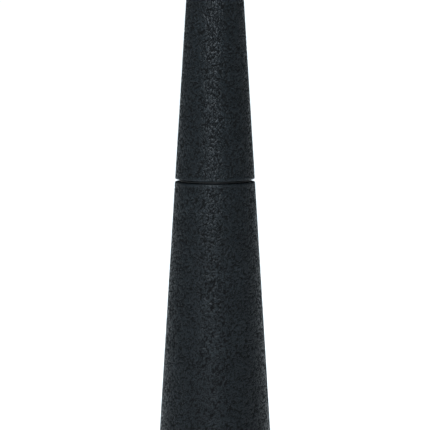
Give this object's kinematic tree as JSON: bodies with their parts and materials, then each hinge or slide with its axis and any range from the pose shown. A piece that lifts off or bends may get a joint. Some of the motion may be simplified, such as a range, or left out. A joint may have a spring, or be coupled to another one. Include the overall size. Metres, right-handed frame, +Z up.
{
  "type": "pepper mill",
  "caption": "Tall tapered hand pepper mill: textured cast-iron body and turning head, square drive shaft, ceramic burr, grind adjuster under the base.",
  "frame": {"origin": "centre of the base, on the surface that the mill stands on", "axes": "+Z up along the mill's axis; +X through the first of the three housing screws"},
  "size_m": [0.0588, 0.0588, 0.27],
  "materials": {
    "cast_iron": "matt black, with small winding pits",
    "black_polymer": "fine moulded grain",
    "clear_polymer": "smooth, translucent grey",
    "white_polymer": "smooth, low friction",
    "silicone": "dull, slightly soft",
    "ceramic": "fine unglazed technical ceramic",
    "steel": "drawn and turned stainless steel",
    "brass": "turned"
  },
  "bodies": {
    "body": {"body_shell": "cast_iron", "hopper_liner": "clear_polymer", "mouth_ring": "black_polymer", "mechanism_housing": "black_polymer", "stator_ring": "ceramic", "stator_clamp_ring": "black_polymer", "shaft_bush": "brass", "foot_ring": "silicone", "housing_screw_1": "steel", "housing_screw_2": "steel", "housing_screw_3": "steel"},
    "collar": {"neck_collar": "black_polymer", "neck_o_ring": "silicone"},
    "head": {"head_shell": "cast_iron", "head_core": "black_polymer", "drive_socket": "steel", "glide_washer": "white_polymer", "collar_clip": "steel", "core_screw_1": "steel", "core_screw_2": "steel", "core_screw_3": "steel"},
    "drive": {"drive_shaft": "steel", "thrust_washer": "steel", "shaft_clip": "steel"},
    "burr": {"rotor_cone": "ceramic", "rotor_carrier": "white_polymer", "spring_seat_washer": "steel", "grind_spring": "steel"},
    "adjuster": {"adjuster_wheel": "black_polymer", "adjuster_nut": "brass", "adjuster_cap": "black_polymer"}
  },
  "joints": [
    {"name": "head_lift", "type": "slide", "parent": "body", "child": "collar", "axis": [0, 0, 1], "range_m": [0, 0.05]},
    {"name": "head_turn", "type": "hinge", "parent": "collar", "child": "head", "pos_m": [0, 0, 0.1463], "axis": [0, 0, 1], "continuous": true},
    {"name": "drive_turn", "type": "hinge", "parent": "body", "child": "drive", "pos_m": [0, 0, 0.042], "axis": [0, 0, 1], "continuous": true},
    {"name": "burr_slide", "type": "slide", "parent": "drive", "child": "burr", "axis": [0, 0, 1], "range_m": [-0.00052, 0.00052], "deforming": ["grind_spring"]},
    {"name": "adjuster_turn", "type": "hinge", "parent": "burr", "child": "adjuster", "pos_m": [0, 0, 0.0045], "axis": [0, 0, 1], "range_deg": [-150, 150]}
  ],
  "couplings": [
    {"joint": "drive_turn", "follows": "head_turn", "ratio": 1},
    {"joint": "adjuster_turn", "follows": "burr_slide", "rad_per_m": 5026.6}
  ]
}
